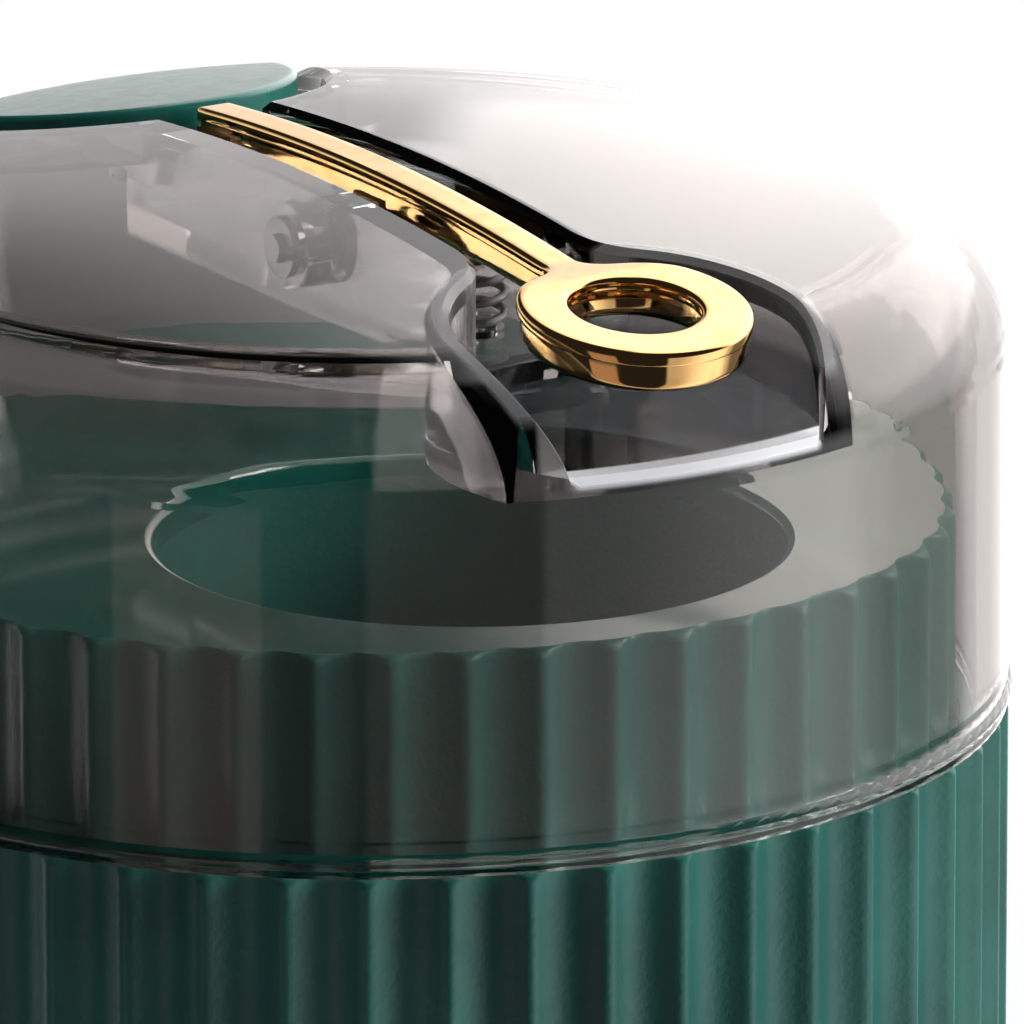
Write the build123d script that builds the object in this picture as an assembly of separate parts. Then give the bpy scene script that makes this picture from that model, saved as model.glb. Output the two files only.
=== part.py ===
from build123d import *
from math import pi, sqrt
import os

# A round fluted toothpick dispenser. Its clear domed lid carries a see-saw lever: pressing the
# ring at the front lifts a pouring flap at the back. +Z is up, the ring points to -Y, and the
# origin is the middle of the foot ring's underside. All sizes are in mm.

# Stand
body_radius = 36.0        # over the crests of the flutes
flute_count = 50
flute_depth = 0.9
flute_crest = 0.5         # land left between two flutes
flute_turn = 4.85         # degrees that the shell's flutes are turned from the neck's
edge_chamfer = 0.6
stand_off = 1.0           # air under the shell, bridged by the foot ring
lid_seat_z = 52.0         # ledge that the lid's edge rests on
shell_wall = 3.7
seat_wall = 2.7           # left outside the neck's plug
cap_wall = 2.4            # left outside the base cap
neck_seat_depth = 10.0
base_thickness = 2.4

# Lid form
lid_draft = 0.1           # taken off the radius over the skirt
lid_height = 30.5
crown_radius = 182.0
shoulder_fillet = 7.8
lid_wall = 1.8
rim_chamfer = 0.4         # where the recess and the mouth cut the outer face
bead_radius = 0.55
bead_height = 0.9
bead_proud = 0.25

# Neck and pick well
neck_play = 1.1           # round the neck, inside the lid
neck_flute_depth = 0.8
neck_height = 11.9
neck_wall = 2.2
deck_thickness = 1.8
well_radius = 17.4
well_wall = 1.6
well_gap = 0.8            # from the well to the neck's inside at the front
socket_wall = 1.5
socket_depth = 3.0

# Foot ring and base screws
foot_inset = 8.6          # from the base cap's edge
foot_width = 3.0
foot_groove = 1.0
base_screw_count = 3
base_screw_inset = 3.8    # from the base cap's edge
base_screw_radius = 1.4
base_screw_length = 7.0
base_head_radius = 2.7
base_head_height = 1.3
boss_wall = 1.55
boss_height = 9.0

# Keyhole recess for the lever
recess_wall = 1.4
recess_flare = 5.0        # where the channel opens into the pocket
channel_width = 6.6
channel_depth = 7.0       # below the crown
pocket_radius = 10.1
pocket_depth = 8.5        # below the crown

# Pouring mouth and flap
mouth_inset = 7.0         # centre of the mouth, from the lid's edge
mouth_radius = 12.8
mouth_gap = 1.6           # round the flap
mouth_depth = 7.5         # from the crown down to the mouth's lower edge
ledge_width = 2.2
ledge_thickness = 1.8
ledge_lip = 1.0           # height of the step at the mouth's lower edge
flap_thickness = 1.6
flap_proud = 0.35
flap_rest_gap = 0.35
pad_length = 8.9

# Lever
ring_inset = 7.6          # centre of the ring, from the lid's edge
ring_radius = 6.5
ring_hole_radius = 3.65
ring_height = 2.4
ring_proud = 0.85
ring_tilt = 9.0
ring_plate = 0.8          # thickness of its top plate
ring_step = 0.3           # from the plate's edge to the ring below it
ring_round = 1.0          # at the bottom
ring_edge = 0.3
bar_width = 2.3
bar_height = 2.3
bar_proud = 0.3
bar_reach = 0.4           # past the mouth's front edge
bar_edge = 0.45
tab_width = 5.0
tab_thickness = 1.4
tab_depth = 4.7           # from the crown down to the tab's seat
tail_web = 3.4

# Pivot and spring
pivot_offset = 2.0        # in front of the axis
pivot_depth = 4.5         # below the crown
pin_radius = 0.75
pin_boss_wall = 1.55
pin_boss_length = 1.6
hub_wall = 1.05
clip_wall = 0.85
clip_thickness = 0.5
pin_end = 0.4
spring_offset = 12.0      # in front of the axis
spring_radius = 1.5
spring_wire = 0.25
spring_turns = 3.5
spring_peg_play = 0.15
spring_peg_height = 1.0

# Flap screws
flap_screw_radius = 1.0
flap_screw_length = 3.4
flap_head_radius = 1.7
flap_head_height = 1.1
flap_screw_spacing = 4.4

# Clearances
fit = 0.05                # radial, between pieces that plug together
pin_press = 0.02          # radial, pin in the lid's bosses
side_play = 0.4           # each side of what swings in the channel

# Radii that follow from the body and its walls
shell_bore = body_radius - shell_wall
neck_seat_bore = body_radius - seat_wall
base_seat_bore = body_radius - cap_wall
lid_rim_radius = body_radius
lid_shoulder_radius = lid_rim_radius - lid_draft
neck_radius = lid_shoulder_radius - lid_wall - neck_play
neck_bore = neck_radius - neck_wall
well_outer = well_radius + well_wall
well_offset = neck_bore - well_outer - well_gap
foot_radius = base_seat_bore - foot_inset
base_screw_circle = base_seat_bore - base_screw_inset
boss_radius = base_screw_radius + fit + boss_wall
mouth_offset = lid_rim_radius - mouth_inset
flap_radius = mouth_radius - mouth_gap
throat_radius = mouth_radius - ledge_width
ring_offset = lid_rim_radius - ring_inset
spring_peg_radius = spring_radius - spring_wire - spring_peg_play
pin_boss_radius = pin_radius + pin_boss_wall
hub_radius = pin_radius + hub_wall
hub_width = channel_width - 2 * side_play
pin_boss_reach = channel_width / 2 + recess_wall + pin_boss_length

# Levels that follow
neck_top_z = lid_seat_z + neck_height
deck_z = neck_top_z - deck_thickness
base_top_z = stand_off + base_thickness
crown_z = lid_seat_z + lid_height
floor_z = crown_z - channel_depth
pocket_z = crown_z - pocket_depth
sill_z = crown_z - mouth_depth
pivot_z = crown_z - pivot_depth
tab_top_z = crown_z - tab_depth
tab_bottom_z = tab_top_z - tab_thickness

# Places along the lever
mouth_front = mouth_offset - mouth_radius
throat_front = mouth_offset - throat_radius
pad_front = throat_front - side_play
bar_back = mouth_front + bar_reach

ground = (Align.CENTER, Align.CENTER, Align.MIN)

# Centre of the shoulder's rounding, which blends the skirt into the crown
blend_offset = lid_shoulder_radius - shoulder_fillet
blend_reach = sqrt((crown_radius - shoulder_fillet) ** 2 - blend_offset**2)
blend_z = crown_z - crown_radius + blend_reach


def blend_point(inset):
    """Where the crown of the lid's form, shrunk by an inset, meets the shoulder's rounding."""
    share = (shoulder_fillet - inset) / (crown_radius - shoulder_fillet)
    return blend_offset * (1 + share), blend_z + blend_reach * share


def crown_height(offset):
    """Height of the lid's outer face at a distance from the axis."""
    if offset <= blend_point(0)[0]:
        return crown_z - crown_radius + sqrt(crown_radius**2 - offset**2)
    return blend_z + sqrt(shoulder_fillet**2 - (offset - blend_offset) ** 2)


def upright(radius, bottom, top, x=0.0, y=0.0):
    """A vertical cylinder between two levels."""
    return Pos(x, y, bottom) * Cylinder(radius, top - bottom, align=ground)


def crosswise(radius, length, y, z):
    """A cylinder along X, centred on the lever's plane."""
    return Pos(0, y, z) * Rot(0, 90, 0) * Cylinder(radius, length)


def block(width, y_low, y_high, z_low, z_high):
    """A box centred on the lever's plane."""
    corner = Pos(0, y_low, z_low)
    return corner * Box(width, y_high - y_low, z_high - z_low, align=(Align.CENTER, Align.MIN, Align.MIN))


def fluted_outline(radius, depth, turn):
    """A circle with concave flutes cut into it and a narrow land between each pair."""
    half_width = (2 * pi * radius / flute_count - flute_crest) / 2
    flute_radius = (half_width**2 + depth**2) / (2 * depth)
    centres = PolarLocations(radius - depth + flute_radius, flute_count, start_angle=turn)
    return Circle(radius) - [place * Circle(flute_radius) for place in centres]


def fluted_column(radius, depth, bottom, top, turn=0):
    """A fluted prism whose top rim is broken by a chamfer."""
    blank = upright(radius, bottom, top)
    blank = chamfer(blank.edges().group_by(Axis.Z)[-1], edge_chamfer)
    return blank & Pos(0, 0, bottom) * extrude(fluted_outline(radius, depth, turn), top - bottom)


def lid_form(inset):
    """The lid's form shrunk by an inset: a drafted skirt, a rounded shoulder and a shallow crown."""
    rim = (lid_rim_radius - inset, lid_seat_z)
    shoulder = (lid_shoulder_radius - inset, blend_z)
    apex = (0, crown_z - inset)
    foot = Line((0, lid_seat_z), rim)
    skirt = Line(rim, shoulder)
    rounding = TangentArc(shoulder, blend_point(inset), tangent=(0, 1))
    crown = TangentArc(apex, blend_point(inset), tangent=(1, 0))
    axis = Line(apex, (0, lid_seat_z))
    return revolve(Plane.XZ * make_face([foot, skirt, rounding, crown, axis]), Axis.Z)


def lid_band(outer_inset, inner_inset):
    """The layer of the lid's form between two insets."""
    return lid_form(outer_inset) - lid_form(inner_inset)


def keyhole(grow, back):
    """Plan of the recess: the bar's channel, flared into the ring's round pocket."""
    middle = (back - ring_offset) / 2
    channel = Pos(0, middle) * Rectangle(channel_width + 2 * grow, back + ring_offset)
    outline = channel + Pos(0, -ring_offset) * Circle(pocket_radius + grow)
    corners = [corner for corner in outline.vertices() if -ring_offset < corner.Y < middle]
    return fillet(corners, recess_flare - grow)


def recess(grow, back):
    """The keyhole recess, grown by its wall or left bare as the cutter."""
    top = crown_z + edge_chamfer
    bottom = floor_z - grow
    carved = Pos(0, 0, bottom) * extrude(keyhole(grow, back), top - bottom)
    return carved + upright(pocket_radius + grow, pocket_z - grow, top, y=-ring_offset)


def mouth_column(radius, bottom):
    """A vertical column over the pouring mouth."""
    return upright(radius, bottom, crown_z + edge_chamfer, y=mouth_offset)


def screw(radius, length, head_radius, head_height):
    """A slotted screw standing on its head, with the head's seat at z = 0."""
    head = Pos(0, 0, -head_height) * Cylinder(head_radius, head_height, align=ground)
    slot = Pos(0, 0, -head_height) * Box(2 * head_radius, head_height / 3, head_height / 2)
    return head - slot + Cylinder(radius, length, align=ground)


def base_screw_places():
    """The screws sit evenly on their circle, one of them at the back."""
    places = PolarLocations(base_screw_circle, base_screw_count, start_angle=90)
    return [(place.position.X, place.position.Y) for place in places]


def flap_screw_places():
    """The two screws sit evenly along the pad."""
    middle = pad_front + pad_length / 2
    return [middle - flap_screw_spacing / 2, middle + flap_screw_spacing / 2]


def make_body_shell():
    shell = fluted_column(body_radius, flute_depth, stand_off, lid_seat_z, flute_turn)
    shell -= upright(shell_bore, stand_off, lid_seat_z)
    for x, y in base_screw_places():
        boss = upright(boss_radius, base_top_z, base_top_z + boss_height, x, y)
        shell += boss & upright(neck_seat_bore, stand_off, lid_seat_z)
        shell -= upright(base_screw_radius + fit, base_top_z, base_top_z + base_screw_length, x, y)
    shell -= upright(neck_seat_bore, lid_seat_z - neck_seat_depth, lid_seat_z)
    return shell - upright(base_seat_bore, stand_off, base_top_z)


def make_neck_insert():
    plug_bottom = lid_seat_z - neck_seat_depth
    neck = fluted_column(neck_radius, neck_flute_depth, lid_seat_z, neck_top_z)
    neck += upright(neck_seat_bore - fit, plug_bottom, lid_seat_z)
    neck -= upright(neck_bore, plug_bottom, deck_z)
    socket = upright(well_outer + fit + socket_wall, deck_z - socket_depth, deck_z, y=-well_offset)
    neck += socket & upright(neck_bore + fit, lid_seat_z, deck_z)
    neck -= upright(well_outer + fit, deck_z - socket_depth, deck_z, y=-well_offset)
    return neck - upright(well_radius, deck_z, neck_top_z, y=-well_offset)


def make_pick_well():
    cup = upright(well_outer, base_top_z, deck_z, y=-well_offset)
    return cup - upright(well_radius, base_top_z + well_wall, deck_z, y=-well_offset)


def make_base_cap():
    cap = upright(base_seat_bore - fit, stand_off, base_top_z)
    cap += upright(well_outer + fit + socket_wall, base_top_z, base_top_z + socket_depth, y=-well_offset)
    cap -= upright(well_outer + fit, base_top_z, base_top_z + socket_depth, y=-well_offset)
    groove = upright(foot_radius + fit, stand_off, stand_off + foot_groove)
    cap -= groove - upright(foot_radius - foot_width - fit, stand_off, stand_off + foot_groove)
    for x, y in base_screw_places():
        cap -= upright(base_head_radius + 4 * fit, stand_off, stand_off + base_head_height, x, y)
        cap -= upright(base_screw_radius + 2 * fit, stand_off, base_top_z, x, y)
    return cap


def make_base_screws():
    shank = base_thickness - base_head_height + base_screw_length - fit
    one = screw(base_screw_radius, shank, base_head_radius, base_head_height)
    seat_z = stand_off + base_head_height
    return Part() + [Pos(x, y, seat_z) * one for x, y in base_screw_places()]


def make_foot_ring():
    ring = upright(foot_radius, 0, stand_off + foot_groove)
    return ring - upright(foot_radius - foot_width, 0, stand_off + foot_groove)


def is_rim(edge):
    """Whether an edge lies in the lid's outer face, cut there by the recess or the mouth."""
    for point in (edge @ 0, edge @ 0.5, edge @ 1):
        offset = sqrt(point.X**2 + point.Y**2)
        if offset > lid_shoulder_radius - fit or abs(offset - blend_point(0)[0]) < fit / 10:
            return False
        if point.Z < blend_z + rim_chamfer or abs(point.Z - crown_height(offset)) > fit / 5:
            return False
    return True


def make_lid_shell():
    whole = lid_form(0)
    shell = whole - lid_form(lid_wall)
    bead = Pos(lid_rim_radius + bead_proud - bead_radius, lid_seat_z + bead_height) * Circle(bead_radius)
    shell += revolve(Plane.XZ * bead, Axis.Z)
    shell += recess(recess_wall, throat_front - side_play) & whole
    ledge_inset = flap_thickness - flap_proud + flap_rest_gap
    ledge = lid_band(ledge_inset, ledge_inset + ledge_thickness)
    shell += ledge & mouth_column(mouth_radius + recess_wall, sill_z - ledge_thickness)
    shell += crosswise(pin_boss_radius, 2 * pin_boss_reach, -pivot_offset, pivot_z)
    shell -= recess(0, throat_front + ledge_width)
    shell -= (whole - lid_form(ledge_inset)) & mouth_column(mouth_radius, sill_z)
    shell -= mouth_column(throat_radius, sill_z + ledge_lip)
    shell -= crosswise(pin_radius + pin_press, 4 * pin_boss_reach, -pivot_offset, pivot_z)
    shell = chamfer(shell.edges().filter_by(is_rim), rim_chamfer)
    return shell + upright(spring_peg_radius, floor_z, floor_z + spring_peg_height, y=-spring_offset)


def make_lever_pin():
    length = 2 * (pin_boss_reach + clip_thickness + pin_end)
    return crosswise(pin_radius, length, -pivot_offset, pivot_z)


def make_pin_clips():
    clips = Part()
    clip_radius = pin_radius + clip_wall
    for side in (-1, 1):
        clip = Cylinder(clip_radius, clip_thickness) - Cylinder(pin_radius + pin_press, clip_thickness)
        clip -= Pos(0, -clip_radius, 0) * Box(pin_radius, 2 * clip_radius, clip_thickness)
        x = side * (pin_boss_reach + clip_thickness / 2)
        clips += Pos(x, -pivot_offset, pivot_z) * Rot(0, 90, 0) * clip
    return clips


def make_return_spring():
    height = crown_height(spring_offset) + bar_proud - bar_height - floor_z - 2 * spring_wire
    coil = Helix(height / spring_turns, height, spring_radius)
    wire = Plane(coil @ 0, z_dir=coil % 0) * RegularPolygon(spring_wire, 6)
    return Pos(0, -spring_offset, floor_z + spring_wire) * sweep(wire, coil)


def bar_arc(drop):
    """The bar's lengthwise curve, which follows the crown from the mouth to the ring."""
    ends = [bar_back, -pivot_offset, ring_hole_radius + ring_edge - ring_offset]
    points = [(y, crown_height(abs(y)) + bar_proud - drop) for y in ends]
    return ThreePointArc(*points)


def make_bar():
    """The bar between the mouth and the ring, with its long top edges rounded."""
    top = bar_arc(0)
    bottom = bar_arc(bar_height)
    outline = [top, Line(top @ 1, bottom @ 1), bottom, Line(bottom @ 0, top @ 0)]
    bar = extrude(Plane.YZ * make_face(outline), bar_width / 2, both=True)
    long_edges = bar.faces().sort_by(Axis.Z)[-1].edges().sort_by(SortBy.LENGTH)[-2:]
    return fillet(long_edges, bar_edge)


def make_ring():
    """The finger ring: a flat plate over a rounded body, tilted with the crown below it."""
    hole = Pos(ring_hole_radius, 0)
    corner = (Align.MIN, Align.MAX)
    width = ring_radius - ring_hole_radius
    plate = hole * Rectangle(width, ring_plate, align=corner)
    plate = chamfer(plate.vertices().group_by(Axis.Y)[-1], ring_edge)
    body = hole * Rectangle(width - ring_step, ring_height, align=corner)
    body = fillet(body.vertices().sort_by(Axis.Y)[:2].sort_by(Axis.X)[-1], ring_round)
    ring_top = crown_height(ring_offset) + ring_proud
    return Pos(0, -ring_offset, ring_top) * Rot(ring_tilt, 0, 0) * revolve(Plane.XZ * (plate + body), Axis.Z)


def make_lever():
    lever = make_bar() + make_ring()
    lever += crosswise(hub_radius, hub_width, -pivot_offset, pivot_z)
    hub_top = crown_height(pivot_offset) + bar_proud - bar_height / 2
    lever += block(bar_width, -pivot_offset - hub_radius, hub_radius - pivot_offset, pivot_z, hub_top)
    tail_top = crown_height(bar_back) - bar_height / 2
    lever += block(bar_width, bar_back - tail_web, bar_back, tab_bottom_z, tail_top)
    lever += block(tab_width, bar_back - tail_web, pad_front + pad_length, tab_bottom_z, tab_top_z)
    lever -= crosswise(pin_radius + fit, 2 * hub_width, -pivot_offset, pivot_z)
    for y in flap_screw_places():
        lever -= upright(flap_screw_radius + 2 * fit, tab_bottom_z, tab_top_z, y=y)
    return lever


def make_flap():
    flap = lid_band(-flap_proud, flap_thickness - flap_proud)
    flap &= mouth_column(flap_radius, sill_z + ledge_lip / 2)
    pad = block(hub_width, pad_front, pad_front + pad_length, tab_top_z, crown_z)
    flap += pad & lid_form(flap_thickness / 2)
    for y in flap_screw_places():
        depth = flap_screw_length - tab_thickness
        flap -= upright(flap_screw_radius + fit / 2, tab_top_z, tab_top_z + depth, y=y)
    return flap


def make_flap_screws():
    one = screw(flap_screw_radius, flap_screw_length - fit, flap_head_radius, flap_head_height)
    return Part() + [Pos(0, y, tab_bottom_z) * one for y in flap_screw_places()]


pieces = {
    "body_shell": make_body_shell,
    "neck_insert": make_neck_insert,
    "pick_well": make_pick_well,
    "base_cap": make_base_cap,
    "base_screws": make_base_screws,
    "foot_ring": make_foot_ring,
    "lid_shell": make_lid_shell,
    "lever_pin": make_lever_pin,
    "pin_clips": make_pin_clips,
    "return_spring": make_return_spring,
    "lever": make_lever,
    "flap": make_flap,
    "flap_screws": make_flap_screws,
}

os.makedirs("parts", exist_ok=True)
for name, make in pieces.items():
    piece = make()
    export_step(piece, f"parts/{name}.step")
    print(name, len(piece.solids()), round(piece.volume))
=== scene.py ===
# %% [markdown]
# # A toothpick dispenser with a see-saw flap
#
# A round fluted stand in dark green plastic carries a smoky clear lid. A gold-plated lever lies in
# a keyhole-shaped recess of the lid: pressing its ring lifts a green flap at the back, and a
# toothpick slides out. We load the dispenser's working model as a fixed frame, and build what the
# eye sees around it. The pieces are sized in millimetres until the last moment, when a mesh is
# made. The studio around them is in metres.

# %% Load the frame
from math import atan2, cos, hypot, pi, radians, sin, sqrt, tan

import bmesh
import bpy
from mathutils import Matrix, Vector


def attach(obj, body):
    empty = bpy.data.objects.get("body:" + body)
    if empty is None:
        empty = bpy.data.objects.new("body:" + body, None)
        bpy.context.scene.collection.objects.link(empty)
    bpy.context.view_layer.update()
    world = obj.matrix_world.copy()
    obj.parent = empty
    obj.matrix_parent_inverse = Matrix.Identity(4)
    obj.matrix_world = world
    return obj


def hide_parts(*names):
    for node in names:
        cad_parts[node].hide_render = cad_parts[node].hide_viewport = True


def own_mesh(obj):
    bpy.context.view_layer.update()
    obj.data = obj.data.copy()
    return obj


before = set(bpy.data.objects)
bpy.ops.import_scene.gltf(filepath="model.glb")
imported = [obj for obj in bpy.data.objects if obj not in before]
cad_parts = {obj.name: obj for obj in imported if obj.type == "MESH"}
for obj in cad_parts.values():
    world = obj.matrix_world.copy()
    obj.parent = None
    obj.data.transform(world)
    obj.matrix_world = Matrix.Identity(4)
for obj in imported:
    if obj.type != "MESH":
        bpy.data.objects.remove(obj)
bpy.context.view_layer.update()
MM = 0.001

# %% [markdown]
# ## Shader maths in plain Python
#
# A material is a small program made of nodes. Wiring nodes by hand hides the idea, so one function
# adds any node from its type, its settings and what goes into its sockets. A small class wraps a
# node's output and lets us write `1 - mask * 0.3`: every operator adds the Math node it stands for.
# A second class holds a material, or the world, and gives the nodes that every finish uses.


# %% One function for any node
def add_node(tree, kind, settings=None, output=0, **inputs):
    """Add a node. An input is named by its label, or by its number as in0, in1 and so on."""
    node = tree.nodes.new("ShaderNode" + kind)
    for key, item in (settings or {}).items():
        setattr(node, key, item)
    for key, item in inputs.items():
        number = key[2:] if key.startswith("in") else ""
        socket = node.inputs[int(number) if number.isdigit() else key.replace("_", " ")]
        if isinstance(item, Value):
            tree.links.new(item.socket, socket)
        else:
            socket.default_value = item
    return Value(tree, node.outputs[output])


def add_math(tree, operation, *items):
    """A Math node fed with values or plain numbers."""
    inputs = {f"in{k}": item for k, item in enumerate(items)}
    return add_node(tree, "Math", {"operation": operation}, **inputs)


print("any node comes from add_node(tree, kind, settings, output, ...)")


# %% A socket that does sums
class Value:
    """A node's output that can be used in sums."""

    def __init__(self, tree, socket):
        self.tree, self.socket = tree, socket

    def math(self, operation, *others):
        return add_math(self.tree, operation, self, *others)

    def __add__(self, other): return self.math("ADD", other)
    def __radd__(self, other): return add_math(self.tree, "ADD", other, self)
    def __sub__(self, other): return self.math("SUBTRACT", other)
    def __rsub__(self, other): return add_math(self.tree, "SUBTRACT", other, self)
    def __mul__(self, other): return self.math("MULTIPLY", other)
    def __rmul__(self, other): return add_math(self.tree, "MULTIPLY", other, self)
    def __truediv__(self, other): return self.math("DIVIDE", other)
    def __rtruediv__(self, other): return add_math(self.tree, "DIVIDE", other, self)

    def between(self, low, high):
        """0 below low, 1 above high and a smooth step between them."""
        smooth_step = {"interpolation_type": "SMOOTHSTEP"}
        return add_node(self.tree, "MapRange", smooth_step, Value=self, From_Min=low, From_Max=high)

    def window(self, rise, fall):
        """1 between a rising and a falling edge, each given as where it starts and ends."""
        return self.between(*rise) * (1 - self.between(*fall))


print("a mask can be written as 1 - value.between(low, high)")


# %% A material or world that nodes are added to
class Finish:
    """The node tree of a material or of the world."""

    def __init__(self, owner):
        self.owner, self.tree = owner, owner.node_tree
        self.tree.nodes.clear()

    def node(self, kind, settings=None, output=0, **inputs):
        return add_node(self.tree, kind, settings, output, **inputs)

    def place(self):
        """Where a point lies on its piece, in metres."""
        return self.node("TexCoord", output="Object")

    def noise(self, place, scale, detail):
        return self.node("TexNoise", Vector=place, Scale=scale, Detail=detail)

    def mix(self, share, first, second):
        """A colour between two colours."""
        return self.node("Mix", {"data_type": "RGBA"}, output=2, in0=share, in6=first, in7=second)

    def blend(self, share, first, second):
        """One shader over another."""
        return self.node("MixShader", Fac=share, in1=first, in2=second)

    def output(self, surface, kind="OutputMaterial"):
        end = self.tree.nodes.new("ShaderNode" + kind)
        self.tree.links.new(surface.socket, end.inputs["Surface"])


def new_finish(name):
    material = bpy.data.materials.new(name)
    material.use_nodes = True
    return Finish(material)


print("shader helpers are ready")

# %% [markdown]
# ## Green moulded plastic
#
# The stand and the flap are moulded in a bottle green. The tool that shapes such a piece is lightly
# spark-eroded, which leaves a fine satin grain, so the surface gets three things: a slow drift of
# the colour, a roughness that varies in small patches, and a bump well under a tenth of a
# millimetre deep. The neck's deck comes from a polished part of the mould, so it shares the colour
# but shines, and the flap lies between the two.

# %% Green plastic: satin, polished and the flap's
GREEN_DEEP = (0.0030, 0.0560, 0.0460, 1.0)
GREEN_FRESH = (0.0070, 0.0820, 0.0650, 1.0)
PATCH_SPREAD = 0.16


def green_plastic(name, roughness, grain_depth, coat, sheen=0.5):
    """Green plastic with a grain that is given in millimetres."""
    finish = new_finish(name)
    place = finish.place()
    drift = finish.noise(place, 60.0, 3.0).between(0.35, 0.65)
    patches = finish.noise(place, 900.0, 4.0)
    grain = finish.noise(place, 2600.0, 5.0)
    finish.output(finish.node(
        "BsdfPrincipled",
        Base_Color=finish.mix(drift, GREEN_DEEP, GREEN_FRESH),
        Roughness=patches * PATCH_SPREAD + (roughness - PATCH_SPREAD / 2),
        Specular_IOR_Level=sheen,
        IOR=1.5,
        Coat_Weight=coat,
        Coat_Roughness=0.06,
        Normal=finish.node("Bump", Strength=0.6, Distance=grain_depth * MM, Height=grain),
    ))
    return finish.owner


satin_green = green_plastic("satin_green", roughness=0.42, grain_depth=0.06, coat=0.0, sheen=0.60)
polished_green = green_plastic("polished_green", roughness=0.16, grain_depth=0.003, coat=1.0)
flap_green = green_plastic("flap_green", roughness=0.30, grain_depth=0.02, coat=0.3)
print("green:", satin_green.name, polished_green.name, flap_green.name)

# %% [markdown]
# ## Gold plating, steel and rubber
#
# Plating follows every ripple of the casting below it, so the gold is a pure metal with low
# roughness and a very faint waviness, and thin handling marks in its roughness. On the hub and the
# tab, under the bar, the gold is rough and darkened, a painted shade that keeps these parts dark
# under the bar. The steel of pins, clips, spring and screws is darkened too, a painted shade for
# the parts under the lid, and has hardly any gloss, and the foot ring's rubber has a dusty bloom.

# %% Metals and rubber
GOLD, GOLD_WORN = (0.88, 0.54, 0.22, 1.0), (0.80, 0.46, 0.16, 1.0)
# painted shade: a darkened gold for the hub, webs and tab under the bar
SHADED_GOLD, SHADED_GOLD_WORN = (0.20, 0.13, 0.06, 1.0), (0.15, 0.10, 0.05, 1.0)
# painted shade: the steel is darkened so that pins, clips and spring under the lid stay dark
SHADED_STEEL, SHADED_STEEL_WORN = (0.20, 0.20, 0.20, 1.0), (0.15, 0.15, 0.15, 1.0)
RUBBER, RUBBER_DUSTY = (0.012, 0.012, 0.012, 1.0), (0.035, 0.035, 0.034, 1.0)


def metal(name, colour, worn, roughness, wave_depth):
    """A metal with handling marks and with waves that are given in millimetres."""
    finish = new_finish(name)
    place = finish.place()
    marks = finish.noise(place, 700.0, 6.0).between(0.45, 0.75)
    waves = finish.noise(place, 260.0, 2.0)
    finish.output(finish.node(
        "BsdfPrincipled",
        Base_Color=finish.mix(marks, colour, worn),
        Metallic=1.0,
        Roughness=marks * 0.06 + roughness,
        Normal=finish.node("Bump", Strength=0.5, Distance=wave_depth * MM, Height=waves),
    ))
    return finish.owner


def dusty_rubber(name):
    finish = new_finish(name)
    bloom = finish.noise(finish.place(), 500.0, 5.0)
    finish.output(finish.node(
        "BsdfPrincipled",
        Base_Color=finish.mix(bloom, RUBBER, RUBBER_DUSTY),
        Roughness=bloom * 0.2 + 0.6,
        Normal=finish.node("Bump", Strength=0.5, Distance=0.03 * MM, Height=bloom),
    ))
    return finish.owner


gold = metal("gold_plating", GOLD, GOLD_WORN, roughness=0.06, wave_depth=0.012)
# painted shade: the gold of the parts under the bar is darkened
shaded_gold = metal("gold_plating_dull", SHADED_GOLD, SHADED_GOLD_WORN, roughness=0.40, wave_depth=0.02)
# painted shade: a darkened steel for pins, clips, spring and screws
shaded_steel = metal("plain_steel", SHADED_STEEL, SHADED_STEEL_WORN, roughness=0.48, wave_depth=0.01)
rubber = dusty_rubber("foot_rubber")
print("metals and rubber:", gold.name, shaded_gold.name, shaded_steel.name, rubber.name)

# %% [markdown]
# ## Smoky clear plastic
#
# The lid is a polished clear moulding with a grey-brown tint. Its walls are real closed solids, so
# the shader is plain glass with the index of acrylic, 1.49, and the path tracer bends the light in
# every rim. Lamps can't shine through glass in a path tracer without noise, so for shadow rays the
# same surface turns into a tinted filter. Fine wipe marks keep the polish from looking perfect.
#
# Three masks change the finish round the ring's pocket. The tub that the ring sinks into has a
# much deeper tint, a painted shade for the dark depth of the pocket. The pocket's rim is slightly
# rough and nearly colourless, with a little white matt shader mixed in, a painted highlight for
# its edge. At the lid's front lip half of the surface is that white matt shader, a painted
# highlight that shows as a white edge. The masks use the distance from the lid's axis, from the
# pocket's edge and from the pocket's floor.

# %% Smoky plastic
SMOKE = (0.50, 0.485, 0.48, 1.0)
# painted shade: a much darker tint for the tub that the ring sinks into
SMOKE_PAINTED_SHADE = (0.12, 0.12, 0.135, 1.0)
# painted highlight: an untinted colour and a white matt shader for the pocket's rim and front lip
RIM_HIGHLIGHT_CLEAR = (0.97, 0.97, 0.97, 1.0)
HIGHLIGHT_WHITE = (0.86, 0.86, 0.88, 1.0)
SHADOW_TINT = (0.90, 0.89, 0.885, 1.0)
RING_Y, POCKET_RADIUS, POCKET_FLOOR, LID_BORE = -28.4, 10.1, 74.0, 34.0


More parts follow.
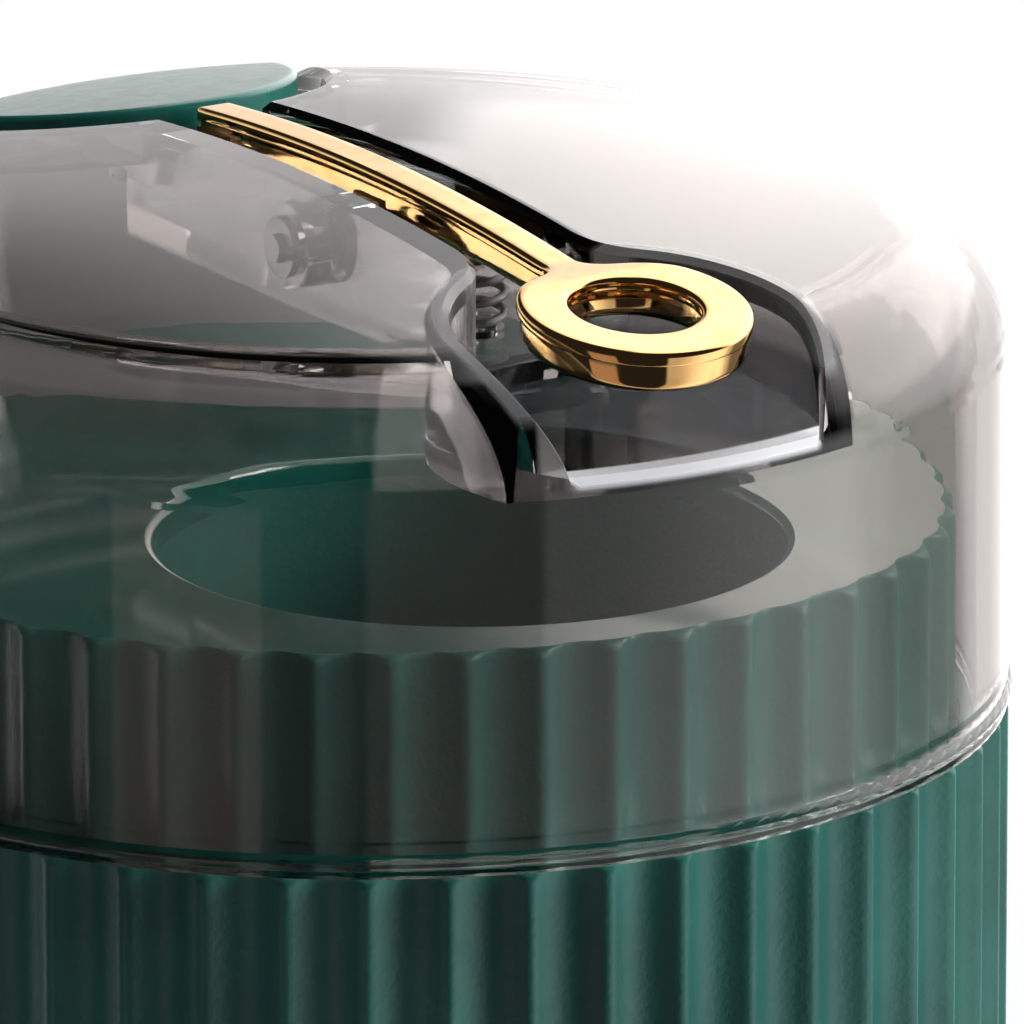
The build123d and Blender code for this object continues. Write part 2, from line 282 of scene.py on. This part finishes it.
def smoky_plastic():
    finish = new_finish("smoky_clear")
    place = finish.place()
    wipes = finish.noise(place, 400.0, 5.0).between(0.5, 0.8)

    x, y, z = (finish.node("SeparateXYZ", output=k, Vector=place) / MM for k in range(3))
    from_axis = (x * x + y * y).math("SQRT")
    beside_pocket = (x * x + (y - RING_Y) * (y - RING_Y)).math("SQRT") - POCKET_RADIUS
    above_floor = z - POCKET_FLOOR

    # painted shade: the tub round the ring takes the darker tint
    shaded_tub = above_floor.window((-2.0, -1.8), (3.5, 5.5)) * (1 - beside_pocket.between(1.5, 1.7))
    shaded_tub = shaded_tub * (1 - from_axis.between(LID_BORE - 0.1, LID_BORE))
    # painted highlight: the rim and the front lip lose the tint and get a white matt shader mixed in
    rim = beside_pocket.window((-0.1, 0.1), (0.9, 1.3)) * above_floor.between(2.5, 3.5)
    lip_highlight = from_axis.between(LID_BORE - 0.1, LID_BORE + 0.3) * above_floor.between(-0.8, -0.4)
    lip_highlight = lip_highlight * (1 - beside_pocket.between(-0.1, 0.3))
    rim = rim.math("MAXIMUM", lip_highlight)

    clear = finish.node(
        "BsdfPrincipled",
        Base_Color=finish.mix(rim, finish.mix(shaded_tub, SMOKE, SMOKE_PAINTED_SHADE), RIM_HIGHLIGHT_CLEAR),
        Roughness=wipes * 0.03 + rim * 0.30,
        IOR=1.49,
        Transmission_Weight=1.0,
    )
    # painted highlight: a white matt shader mixed into the rim and, at half strength, into the front lip
    painted_highlight = finish.node("BsdfPrincipled", Base_Color=HIGHLIGHT_WHITE, Roughness=0.35)
    body = finish.blend(lip_highlight * 0.5 + rim * 0.08, clear, painted_highlight)
    shade = finish.node("BsdfTransparent", Color=SHADOW_TINT)
    in_shadow = finish.node("LightPath", output="Is Shadow Ray")
    finish.output(finish.blend(in_shadow, body, shade))
    return finish.owner


smoky_clear = smoky_plastic()
print("lid:", smoky_clear.name)

# %% [markdown]
# ## Meshes from rings
#
# Almost every piece here is turned or swept, so one helper does the modelling: it takes a list of
# rings with equally many points, skins neighbours with quads, and closes the ends if asked. Long
# flats stay crisp because edges sharper than a limit are marked sharp.

# %% Ring modelling helpers
FLAT = 0.9999  # faces as level as this are shaded flat


def finish_mesh(name, mesh_data, body, materials, node, sharp=35.0):
    """Turn a bmesh in millimetres into a piece that rides on a body."""
    bmesh.ops.recalc_face_normals(mesh_data, faces=mesh_data.faces)
    bmesh.ops.scale(mesh_data, vec=(MM, MM, MM), verts=mesh_data.verts)
    mesh = bpy.data.meshes.new(name)
    mesh_data.to_mesh(mesh)
    mesh_data.free()
    mesh.set_sharp_from_angle(angle=radians(sharp))
    for face in mesh.polygons:
        face.use_smooth = abs(face.normal.z) < FLAT
    for material in materials:
        mesh.materials.append(material)
    piece = bpy.data.objects.new(name, mesh)
    bpy.context.collection.objects.link(piece)
    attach(piece, body)
    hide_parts(node)
    print(name, len(mesh.polygons), "faces")
    return piece


def skin(mesh_data, rings, loop=False, caps=False, zones=None):
    """Skin a list of rings; zones gives each band its material's number."""
    made = [[mesh_data.verts.new(point) for point in ring] for ring in rings]
    pairs = list(zip(made, made[1:])) + ([(made[-1], made[0])] if loop else [])
    count = len(rings[0])
    for band, (lower, upper) in enumerate(pairs):
        for k in range(count):
            n = (k + 1) % count
            face = mesh_data.faces.new((lower[k], lower[n], upper[n], upper[k]))
            face.material_index = zones[band] if zones else 0
    if caps:
        mesh_data.faces.new(made[0])
        mesh_data.faces.new(made[-1])
    return made


def circle(radius, z, count, y=0.0):
    """A level ring of points about the axis, or about an axis moved to y."""
    turns = [2 * pi * k / count for k in range(count)]
    return [(radius * cos(turn), y + radius * sin(turn), z) for turn in turns]


def quarter_round(steps):
    """Shares of a rounding, from (1, 0) to (0, 1) along a quarter of a circle."""
    turns = [pi / 2 * k / steps for k in range(steps + 1)]
    return [(1 - sin(turn), 1 - cos(turn)) for turn in turns]


print("a rounding in four steps:", [round(share, 2) for share, _ in quarter_round(4)])

# %% [markdown]
# ## The fluted stand
#
# Fifty concave flutes run up the stand and, a little smaller, up the neck. In the mould the flutes
# are cut with a round cutter, so each is a shallow arc, and the polisher's stone leaves the crests
# between them slightly round. We give every flute sixteen points, and near a rim each point keeps
# at least the rim's rounding, so that the flutes run out in the small scallops that such a mould
# leaves.

# %% Flutes
FLUTES, PER_FLUTE = 50, 16
AROUND = FLUTES * PER_FLUTE
CREST_AT = 0.8  # from here to the crest the flute's arc bends round
RIM_ROUND, RIM_SHARE = 0.6, 0.15


def flute_share(k):
    """How deep point k lies in its flute, from 0 on the crest to 1 in the middle."""
    across = abs((k % PER_FLUTE) / PER_FLUTE * 2 - 1)
    crest = 1 - CREST_AT
    if across < CREST_AT:
        hollow = 1 - across**2
    else:
        hollow = CREST_AT / crest * (1 - across) ** 2 + crest
    return (hollow - crest) / CREST_AT


def fluted_ring(radius, depth, z, rim, turn):
    """A ring round the flutes, pulled in by at least the rim's rounding."""
    points = []
    for k in range(AROUND):
        angle = 2 * pi * (k / AROUND) + radians(turn)
        cut = depth * flute_share(k)
        pulled = radius - max(cut, rim) - RIM_SHARE * min(cut, rim)
        points.append((pulled * cos(angle), pulled * sin(angle), z))
    return points


def rounded_top(radius, depth, z, turn):
    """Rings that round a fluted rim over into its top face."""
    return [
        fluted_ring(radius, depth, z - RIM_ROUND * low, RIM_ROUND * pulled, turn)
        for low, pulled in quarter_round(4)
    ]


print("ring points round the stand:", AROUND)

# %% [markdown]
# ## Body shell
#
# The outer shell is open at both ends: the base cap closes it from below and the neck plugs into it
# from above. Inside stand three screw bosses. The shell's wall could come from a Solidify modifier,
# but the real bore is plain and the flutes are only outside, so the bore's rings are made directly.

# %% Body shell
BODY_RADIUS, FLUTE_DEPTH, STAND_OFF, LOWER_EDGE, SEAT_Z = 36.0, 0.9, 1.0, 0.3, 52.0
SHELL_TURN, NECK_TURN = 1.25, 180 / FLUTES
SHELL_RINGS = (18.0, 35.0)  # heights of the rings between foot and rim
SHELL_BORE, NECK_SEAT, SEAT_DEPTH, CAP_SEAT, CAP_TOP = 32.3, 33.3, 10.0, 33.6, 3.4
BOSSES, BOSS_AT, BOSS_RADIUS, BOSS_HEIGHT, SCREW_HOLE, HOLE_DEPTH = 3, 29.8, 3.0, 9.0, 1.45, 7.0

shell = bmesh.new()
outside = [fluted_ring(BODY_RADIUS, FLUTE_DEPTH, STAND_OFF, LOWER_EDGE, SHELL_TURN)]
for z in (STAND_OFF + LOWER_EDGE, *SHELL_RINGS):
    outside.append(fluted_ring(BODY_RADIUS, FLUTE_DEPTH, z, 0.0, SHELL_TURN))
outside += rounded_top(BODY_RADIUS, FLUTE_DEPTH, SEAT_Z, SHELL_TURN)
inside = [
    (NECK_SEAT, SEAT_Z), (NECK_SEAT, SEAT_Z - SEAT_DEPTH), (SHELL_BORE, SEAT_Z - SEAT_DEPTH),
    (SHELL_BORE, CAP_TOP), (CAP_SEAT, CAP_TOP), (CAP_SEAT, STAND_OFF),
]
skin(shell, outside + [circle(radius, z, AROUND) for radius, z in inside], loop=True)

boss = [
    (BOSS_RADIUS, CAP_TOP + BOSS_HEIGHT), (BOSS_RADIUS, CAP_TOP),
    (SCREW_HOLE, CAP_TOP), (SCREW_HOLE, CAP_TOP + HOLE_DEPTH),
]
for k in range(BOSSES):
    turn = Matrix.Rotation(radians(90 + 360 / BOSSES * k), 4, "Z") @ Matrix.Translation((BOSS_AT, 0, 0))
    skin(shell, [[turn @ Vector(p) for p in circle(radius, z, 32)] for radius, z in boss], caps=True)
finish_mesh("body_shell_fluted", shell, "stand", [satin_green], "body_shell")

# %% [markdown]
# ## Neck insert
#
# The neck carries the lid and holds the round opening that the picks stand in. Its flutes are a
# little shallower than the stand's. The deck around the opening is polished, and its edges are
# softly rounded, so under the clear lid it mirrors what is behind it. The deck's zone gets its own
# material slot on the same mesh, because on the real piece it is one moulding.

# %% Neck insert
NECK_RADIUS, NECK_FLUTE, NECK_TOP, NECK_BORE, DECK = 33.0, 0.8, 63.9, 30.8, 1.8
PLUG_RADIUS, PLUG_LOW = 33.25, 42.0
WELL_Y, WELL_RADIUS, WELL_LIP = -11.0, 17.4, 0.5
CUP_SEAT, CUP_WALL, CUP_DEPTH = 19.05, 1.5, 3.0

neck = bmesh.new()
outside = [circle(PLUG_RADIUS, PLUG_LOW, AROUND), circle(PLUG_RADIUS, SEAT_Z, AROUND)]
outside.append(fluted_ring(NECK_RADIUS, NECK_FLUTE, SEAT_Z, 0.0, NECK_TURN))
outside += rounded_top(NECK_RADIUS, NECK_FLUTE, NECK_TOP, NECK_TURN)
deck = [(WELL_RADIUS + WELL_LIP * out, NECK_TOP - WELL_LIP * low) for out, low in quarter_round(4)]
deck.append((WELL_RADIUS, NECK_TOP - DECK))
under = [
    (CUP_SEAT, NECK_TOP - DECK), (CUP_SEAT, NECK_TOP - DECK - CUP_DEPTH),
    (CUP_SEAT + CUP_WALL, NECK_TOP - DECK - CUP_DEPTH),
]
bore = [circle(NECK_BORE, z, AROUND) for z in (NECK_TOP - DECK - CUP_DEPTH, PLUG_LOW)]
rings = outside + [circle(radius, z, AROUND, WELL_Y) for radius, z in deck + under] + bore
zones = [0] * (len(outside) - 1) + [1] * len(deck) + [0] * (len(under) + len(bore) + 1)
skin(neck, rings, loop=True, zones=zones)
neck_finishes = [satin_green, polished_green]
finish_mesh("neck_insert_fluted", neck, "stand", neck_finishes, "neck_insert")

# %% [markdown]
# ## The lid's form
#
# The lever's bar and the flap both follow the lid's outside: a shallow crown of 182 mm radius that
# rolls over a rounded shoulder. One function gives that height at any distance from the axis, for
# a layer that stands a little proud of the lid or lies a little inside it.

# %% Height of the lid's form
CROWN_Z, CROWN_RADIUS, SHOULDER, SHOULDER_AT, SHOULDER_Z = 82.5, 182.0, 7.8, 28.1, 72.42


def crown(offset, proud=0.0):
    """Height of the lid's form, moved out by proud, at a distance from the axis."""
    reach = CROWN_RADIUS + proud
    if offset <= SHOULDER_AT * reach / (CROWN_RADIUS - SHOULDER):
        return CROWN_Z - CROWN_RADIUS + sqrt(reach**2 - offset**2)
    return SHOULDER_Z + sqrt(max((SHOULDER + proud) ** 2 - (offset - SHOULDER_AT) ** 2, 0.0))


def smooth(share):
    """A soft step from 0 to 1."""
    share = min(max(share, 0.0), 1.0)
    return share * share * (3 - 2 * share)


print("crown height over the ring", round(crown(-RING_Y), 2))

# %% [markdown]
# ## Lever
#
# The lever is a plated casting: a thin plate with softly rounded edges lies on a slightly smaller
# body, which leaves the fine shadow line round the bar and the ring. The outline is one closed
# curve: a blunt end at the mouth, straight sides, a fillet into the ring and the ring's circle. It
# is a function of an inset, so the same call gives every level of the rounded edges.
#
# A slab is made from such outlines and a list of levels (inset, drop below the top). Its faces are
# filled flat, and then the whole slab is draped over the crown, with the ring's part tilted.

# %% Slabs
def slab(data, shapes, levels, lift):
    """Skin outlines through levels, fill both faces and lift each point by its place."""
    loops = []
    for shape in shapes:
        loops.append(skin(data, [[(x, y, -drop) for x, y in shape(inset)] for inset, drop in levels]))
    for end in (0, -1):
        edges = []
        for ring in loops:
            edges += [data.edges.get((ring[end][k - 1], ring[end][k])) for k in range(len(ring[end]))]
        bmesh.ops.triangle_fill(data, use_beauty=True, use_dissolve=False, edges=edges)
    for ring in loops:
        for level in ring:
            for point in level:
                point.co.z += lift(point.co.x, point.co.y)


def edge_levels(thickness, top, bottom, first=0.0, inner=()):
    """Levels of a slab with rounded edges; inner insets add rings on its flat faces."""
    levels = [(first + inset, 0.0) for inset in inner]
    levels += [(first + top * aside, top * low) for aside, low in quarter_round(4)]
    levels += [(first + bottom * aside, thickness - bottom * high) for high, aside in quarter_round(4)]
    return levels + [(first + inset, thickness) for inset in inner[::-1]]


print("levels of a plain slab:", len(edge_levels(1.0, 0.1, 0.1)))

# %% Outlines
BAR_HALF, BAR_END, RING_RADIUS, RING_HOLE, JOIN, TIP = 1.15, 16.6, 6.5, 3.65, 2.0, 0.35
SIDE_STEPS, JOIN_STEPS, RING_STEPS = 45, 12, 40
LEAST_CORNER = 0.05  # no inset closes a corner, so that no two points of an outline meet


def lever_outline(inset):
    """Bar and ring as one closed curve, from the bar's end down one side and up the other."""
    rise = sqrt((RING_RADIUS + JOIN) ** 2 - (BAR_HALF + JOIN) ** 2)
    joint = atan2(-rise, -(BAR_HALF + JOIN))
    corner = max(TIP - inset, LEAST_CORNER)
    half = [
        (BAR_HALF - inset - corner * aside, BAR_END - inset - corner * low)
        for aside, low in quarter_round(4)
    ]
    high, low = BAR_END - inset - corner, RING_Y + rise
    for k in range(1, SIDE_STEPS):
        half.append((BAR_HALF - inset, high + (low - high) * k / SIDE_STEPS))
    for k in range(JOIN_STEPS + 1):
        turn = pi + (joint + pi) * k / JOIN_STEPS
        half.append((BAR_HALF + JOIN + (JOIN + inset) * cos(turn), low + (JOIN + inset) * sin(turn)))
    start = atan2(rise, BAR_HALF + JOIN)
    for k in range(1, RING_STEPS + 1):
        turn = start - (start + pi / 2) * k / RING_STEPS
        half.append(((RING_RADIUS - inset) * cos(turn), RING_Y + (RING_RADIUS - inset) * sin(turn)))
    return half + [(-x, y) for x, y in half[-2::-1]]


def hole(radius, y, count=72):
    """A hole's outline, which grows with the inset."""
    return lambda inset: [point[:2] for point in circle(radius + inset, 0.0, count, y)]


def box_outline(half, low, high, corner=0.5):
    """A rounded rectangle's outline centred on the lever's plane."""
    def outline(inset):
        tip = max(corner - inset, LEAST_CORNER)
        reach = inset + tip
        points = []
        for turn, x, y in ((0, half, high), (90, -half, high), (180, -half, low), (270, half, low)):
            sx, sy = (1 if x > 0 else -1), (1 if y == high else -1)
            for k in range(5):
                angle = radians(turn + 90 * k / 4)
                points.append((x - sx * reach + tip * cos(angle), y - sy * reach + tip * sin(angle)))
        return points
    return outline


print("outline points:", len(lever_outline(0.0)))

# %% [markdown]
# Below the plate and its body sit the parts that do the work and hardly show: the hub on the cross
# pin, a web over it, a second web at the bar's end and the tab that the flap is screwed to. They
# share the mesh and take the darkened gold, a painted shade under the bar.

# %% Lever
BAR_PROUD, RING_PROUD, RING_TILT, TILT_FROM, TILT_LENGTH = 0.3, 0.85, 9.0, -25.0, 5.0
PLATE, BAR_BODY, BODY_DROP, BODY_INSET = 0.8, 1.7, 0.7, 0.22
WEB_EDGE, TAB_EDGE = 0.05, 0.25
PIVOT_Y, PIVOT_Z, HUB_RADIUS, HUB_HALF, HUB_EDGE, PIN_BORE = -2.0, 78.0, 1.8, 2.9, 0.2, 0.8
TAB_HALF, TAB_START, TAB_END, TAB_TOP, TAB_LOW = 2.5, 13.2, 26.9, 77.8, 76.4
SCREWS, SCREW_CLEAR = (20.25, 24.65), 1.1
WEBS = ((-3.6, -0.4, 81.2, 79.6), (TAB_START, BAR_END, 81.0, 77.6))  # low y, high y, top, bottom


def lever_lift(x, y):
    """The lever's top: along the crown on the bar, tilted on the ring."""
    bar = crown(abs(y)) + BAR_PROUD
    ring = crown(-RING_Y) + RING_PROUD + (y - RING_Y) * tan(radians(RING_TILT))
    share = smooth((y - TILT_FROM) / TILT_LENGTH)
    return ring * (1 - share) + bar * share


lever = bmesh.new()
shapes = [lever_outline, hole(RING_HOLE, RING_Y)]
slab(lever, shapes, edge_levels(PLATE, top=0.28, bottom=0.15, inner=(0.95, 0.6)), lever_lift)
body_levels = edge_levels(BAR_BODY, top=0.05, bottom=0.6, first=BODY_INSET, inner=(0.7, 0.5))
slab(lever, shapes, body_levels, lambda x, y: lever_lift(x, y) - BODY_DROP)
polished_faces = len(lever.faces)

half_hub = [
    (-HUB_HALF, PIN_BORE), (-HUB_HALF, HUB_RADIUS - HUB_EDGE), (-HUB_HALF + HUB_EDGE, HUB_RADIUS),
]
hub = []
for x, radius in half_hub + [(-x, radius) for x, radius in half_hub[::-1]]:
    hub.append([(x, PIVOT_Y + a, PIVOT_Z + b) for a, b, _ in circle(radius, 0.0, 48)])
skin(lever, hub, loop=True)
for low, high, top, bottom in WEBS:
    web = [box_outline(BAR_HALF, low, high, corner=0.3)]
    slab(lever, web, edge_levels(top - bottom, WEB_EDGE, WEB_EDGE), lambda x, y: top)
tab = [box_outline(TAB_HALF, TAB_START, TAB_END)] + [hole(SCREW_CLEAR, y, 32) for y in SCREWS]
slab(lever, tab, edge_levels(TAB_TOP - TAB_LOW, TAB_EDGE, TAB_EDGE), lambda x, y: TAB_TOP)
lever.faces.ensure_lookup_table()
# these faces take the darkened gold, a painted shade under the bar
for face in lever.faces[polished_faces:]:
    face.material_index = 1
finish_mesh("lever_plated", lever, "rocker", [gold, shaded_gold], "lever", sharp=40.0)

# %% [markdown]
# ## Flap
#
# The flap is a domed plate that continues the lid's form a third of a millimetre higher. Its
# outline is the round mouth's, cut by the level edge at the lid's shoulder. Rings shrink from that
# outline to the middle and follow the form, and the edge between top and underside is rounded. A
# pad under the plate rests on the lever's tab.

# %% Flap
MOUTH_Y, FLAP_RADIUS, FLAP_LOW, FLAP_MIDDLE = 29.0, 11.2, 75.5, 28.5
FLAP_PROUD, FLAP_THICK, TOP_EDGE, UNDER_EDGE = 0.35, 1.6, 0.4, 0.2
CUT_STEPS, MOUTH_STEPS = 24, 72
PAD_HALF, PAD_START, PAD_CORNER, PAD_SUNK = 2.9, 18.0, 0.6, 0.8
PAD_LEVELS = ((0.3, 0.0), (0.1, 0.1), (0.0, 0.3))  # inset, height over the tab
SHARES = (0.04, 0.15, 0.28, 0.41, 0.54, 0.66, 0.77, 0.86, 0.93, 0.975)


def flap_outline(inset, proud):
    """The round mouth's outline ended by a level cut across the shoulder."""
    radius = FLAP_RADIUS - inset
    limit = SHOULDER_AT + sqrt((SHOULDER + proud) ** 2 - (FLAP_LOW + inset - SHOULDER_Z) ** 2)
    y = (MOUTH_Y**2 + limit**2 - radius**2) / (2 * MOUTH_Y)
    x = sqrt(limit**2 - y**2)
    start, end = atan2(y - MOUTH_Y, x), atan2(y, x)
    half = []
    for k in range(CUT_STEPS):
        turn = (pi / 2 - end) * k / CUT_STEPS
        half.append((limit * sin(turn), limit * cos(turn)))
    for k in range(MOUTH_STEPS + 1):
        turn = start - (start + pi / 2) * k / MOUTH_STEPS
        half.append((radius * cos(turn), MOUTH_Y + radius * sin(turn)))
    return half + [(-px, py) for px, py in half[-2:0:-1]]


def flap_ring(inset, proud, share=1.0):
    """The flap's outline shrunk to a share of its size and laid on the lid's form."""
    ring = []
    for x, y in flap_outline(inset, proud):
        x, y = x * share, FLAP_MIDDLE + (y - FLAP_MIDDLE) * share
        ring.append((x, y, crown(hypot(x, y), proud)))
    return ring


flap = bmesh.new()
underside = FLAP_PROUD - FLAP_THICK
rings = [flap_ring(TOP_EDGE, FLAP_PROUD, share) for share in SHARES]
rings += [flap_ring(TOP_EDGE * aside, FLAP_PROUD - TOP_EDGE * low) for aside, low in quarter_round(5)]
rings += [
    flap_ring(UNDER_EDGE * aside, underside + UNDER_EDGE * high) for high, aside in quarter_round(3)
]
rings += [flap_ring(UNDER_EDGE, underside, share) for share in SHARES[::-1]]
skin(flap, rings, caps=True)

pad = box_outline(PAD_HALF, PAD_START, TAB_END, PAD_CORNER)
rings = [[(x, y, TAB_TOP + z) for x, y in pad(inset)] for inset, z in PAD_LEVELS]
rings.append([(x, y, crown(hypot(x, y), -PAD_SUNK)) for x, y in pad(0.0)])
skin(flap, rings, caps=True)
finish_mesh("flap_domed", flap, "rocker", [flap_green], "flap")

# %% [markdown]
# ## Return spring
#
# A small coil spring under the bar pushes the ring back up. It is a real helix of round wire
# that stands on its seat in the channel's floor.

# %% Return spring
SPRING_Y, SPRING_RADIUS, SEAT, TURNS, STEPS_PER_TURN = -12.0, 1.5, 75.5, 3.5, 32
WIRE, WIRE_PLAY = 0.25, 0.98  # the wire is a little thinner than the room it has

coil = bmesh.new()
spring_top = crown(-SPRING_Y) + BAR_PROUD - BODY_DROP - BAR_BODY
rise = spring_top - SEAT - 2 * WIRE
around = 2 * pi * TURNS * SPRING_RADIUS
steps = int(TURNS * STEPS_PER_TURN)
rings = []
for k in range(steps + 1):
    angle = 2 * pi * TURNS * k / steps
    out = Vector((cos(angle), sin(angle), 0))
    along_wire = Vector((-around * sin(angle), around * cos(angle), rise)).normalized()
    up = along_wire.cross(out)
    centre = Vector((0, SPRING_Y, SEAT + WIRE + rise * k / steps)) + out * SPRING_RADIUS
    rings.append([centre + (out * a + up * b) * WIRE * WIRE_PLAY for a, b, _ in circle(1.0, 0.0, 10)])
skin(coil, rings, caps=True)
spring = finish_mesh("return_spring_coil", coil, "lid", [shaded_steel], "return_spring", sharp=60.0)
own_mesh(spring)

# %% [markdown]
# ## Finishes for the pieces that stay as they are
#
# Lid, cup, base, screws, pin and clips already have their real shape in the frame, so they only get
# a better finish through their material slots.

# %% Dress the plain pieces
PLAIN = {
    "pick_well": satin_green,
    "base_cap": satin_green,
    "base_screws": shaded_steel,
    "foot_ring": rubber,
    "lid_shell": smoky_clear,
    "lever_pin": shaded_steel,
    "pin_clips": shaded_steel,
    "flap_screws": shaded_steel,
}
for name, material in PLAIN.items():
    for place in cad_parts[name].material_slots:
        place.material = material
print("dressed:", ", ".join(PLAIN))

# %% [markdown]
# ## Camera
#
# A long lens from about a metre away, a little above the lid, looking down by sixteen degrees.

# %% Camera
LENS, LOOK_DOWN, HEADING = 707.98, 16.34, -31.585
CAMERA_AT = (-0.5587, -0.9243, 0.3789)

lens_data = bpy.data.cameras.new("studio_camera")
lens_data.sensor_width = 36.0
lens_data.lens = LENS
camera = bpy.data.objects.new("studio_camera", lens_data)
camera.location = CAMERA_AT
camera.rotation_euler = (radians(90 - LOOK_DOWN), 0.0, radians(HEADING))
bpy.context.collection.objects.link(camera)
bpy.context.scene.camera = camera
print("lens", lens_data.lens)

# %% [markdown]
# ## Studio
#
# Polished clear plastic and gold show the room more than themselves, so the room matters. The
# world is a simple painted studio, and each kind of ray sees its own side of it. Mirrors see a pale
# sweep behind the dispenser, a low bright wall and a light box at the right, and a strip low at the
# front left. Rays that have passed through the lid see a backdrop that is bright at the right and
# dark at the left. Matt surfaces are lit evenly and weakly, and the picture's background is white.
#
# A direction is described by how far it points to the camera, to the right and up, and by its
# azimuth: 0 degrees towards the camera and 90 degrees to the right. The camera looks down, so the
# upright flutes mirror the low part of the room, and the lid's crown mirrors the high part.

# %% Directions in the studio
CAMERA_SIDE = Vector((-0.5173, -0.8558, 0.0))
CAMERA_RIGHT = Vector((0.8558, -0.5173, 0.0))

scene = bpy.context.scene
scene.view_settings.view_transform = "Standard"
world = bpy.data.worlds.new("studio")
scene.world = world
world.use_nodes = True
room = Finish(world)


def along(direction, axis):
    """How far a direction points along an axis."""
    return room.node("VectorMath", {"operation": "DOT_PRODUCT"}, output="Value", in0=direction, in1=axis)


look = room.node("TexCoord", output="Generated")
front = along(look, CAMERA_SIDE)
right = along(look, CAMERA_RIGHT)
height = along(look, (0.0, 0.0, 1.0))
azimuth = right.math("ARCTAN2", front) * (180 / pi)
print("the studio's directions are ready")

# %% What mirrors see
# The sweep behind the dispenser reaches higher at the right, and has a dark gap low at the right.
side = right.math("MAXIMUM", -0.12).math("MINIMUM", 0.15)
sweep_edge = height - (side + 0.05) * 3
sweep = (1 - front.between(-0.3, 0.0)) * (1 - sweep_edge.between(0.25, 0.68))
sweep = sweep * (side.between(-0.03, 0.10) * 1.2 + 1.1)
gap = azimuth.window((98, 112), (130, 138)) * (1 - height.between(-0.20, -0.05))
low_right = right.between(0.2, 0.5) * (1 - height.between(-0.15, 0.15))
sweep = sweep * (1 - gap * 0.85) * (1 - low_right * 0.45)

# The light box hangs behind at the right, and the low wall under it brightens away from the camera.
right_box = azimuth.window((88, 108), (160, 176)) * height.window((0.0, 0.25), (0.60, 0.80)) * 3.0
right_wall = azimuth.window((30, 33.5), (92, 112)) * (1 - height.between(-0.10, 0.05))
right_wall = right_wall * (azimuth.between(38, 80) * 1.0 + 0.6)

# The strip stands low at the front left, and the rest of the room is nearly dark.
strip = azimuth.window((-46.5, -45), (-19.2, -17.8)) * (1 - height.between(-0.22, -0.10))
mirrored = strip * 0.42 + 0.02
for card in (sweep, right_box, right_wall):
    mirrored = mirrored.math("MAXIMUM", card)
print("cards for mirrors are ready")

# %% What the clear lid shows behind it
# Above the horizon the backdrop is dark at the left and bright at the right, and below it is
# softer. A bright card stands low at the left.
above = right.between(0.006, 0.024) * 3.4 + 0.06
below = right.between(-0.02, 0.03) * 0.65 + 0.32
upper = height.between(0.0, 0.10)
left_card = azimuth.window((-160, -140), (-100, -80)) * height.window((-0.6, -0.5), (0.0, 0.1)) * 8.0
through = (below * (1 - upper) + above * upper).math("MAXIMUM", left_card)
print("backdrop for the lid is ready")

# %% World
DIFFUSE_LEVEL = 0.24
PALE, STRIP_TINT, WARM = (1.0, 0.975, 0.97, 1.0), (1.0, 0.70, 0.62, 1.0), (1.0, 0.93, 0.88, 1.0)
COOL, WHITE = (0.95, 1.0, 1.12, 1.0), (1.0, 1.0, 1.0, 1.0)


def ray(kind):
    """1 for rays of a kind and 0 for all others."""
    return room.node("LightPath", output=f"Is {kind} Ray")


bounced = ray("Glossy") * mirrored + (1 - ray("Glossy")) * DIFFUSE_LEVEL
bounced = ray("Transmission") * through + (1 - ray("Transmission")) * bounced
strength = ray("Camera") + (1 - ray("Camera")) * bounced
tint = room.mix(strip, PALE, STRIP_TINT)
tint = room.mix(ray("Transmission") * right.between(0.01, 0.03), tint, WARM)
tint = room.mix(ray("Diffuse"), tint, COOL)
tint = room.mix(ray("Camera"), tint, WHITE)
room.output(room.node("Background", Color=tint, Strength=strength), "OutputWorld")
print("world ready")

# %% [markdown]
# ## Floor and lamps
#
# The floor is a pale disc that catches the shadow and fades into the white background. Mirrors
# don't see it, so that the gold shows the studio alone. A strong soft lamp at the right models the
# flutes and leaves its glints on the polish, and a weak one from above, a little behind, keeps the
# shade readable.

# %% Floor
FLOOR_RADIUS, FADE_FROM, FADE_TO = 1.2, 0.06, 0.16
FLOOR_GREY = (0.72, 0.72, 0.72, 1.0)

floor_mesh = bpy.data.meshes.new("floor")
disc = bmesh.new()
bmesh.ops.create_circle(disc, cap_ends=True, radius=FLOOR_RADIUS, segments=96)
disc.to_mesh(floor_mesh)
disc.free()
floor = bpy.data.objects.new("floor", floor_mesh)
bpy.context.collection.objects.link(floor)
paper = new_finish("pale_floor")
away = paper.node("VectorMath", {"operation": "LENGTH"}, output="Value", in0=paper.place())
mirrored_here = paper.node("LightPath", output="Is Glossy Ray")
paper.output(paper.blend(
    away.between(FADE_FROM, FADE_TO).math("MAXIMUM", mirrored_here),
    paper.node("BsdfDiffuse", Color=FLOOR_GREY),
    paper.node("BsdfTransparent", Color=WHITE),
))
floor_mesh.materials.append(paper.owner)
print("floor:", paper.owner.name)

# %% Lamps
AIM = Vector((0, 0, 0.05))


def lamp(name, near, aside, up, size, power, glints=False):
    """An area lamp placed towards the camera, to its right and up, and aimed at the dispenser."""
    light = bpy.data.lights.new(name, "AREA")
    light.shape, light.size, light.energy = "DISK", size, power
    holder = bpy.data.objects.new(name, light)
    holder.location = CAMERA_SIDE * near + CAMERA_RIGHT * aside + Vector((0, 0, up))
    holder.rotation_euler = (AIM - holder.location).to_track_quat("-Z", "Y").to_euler()
    holder.visible_glossy, holder.visible_transmission = False, glints
    bpy.context.collection.objects.link(holder)


lamp("key_right", near=0.06, aside=1.03, up=0.45, size=0.5, power=20.0, glints=True)
lamp("top_soft", near=-0.25, aside=0.1, up=0.9, size=0.7, power=4.5)
print("lamps ready")
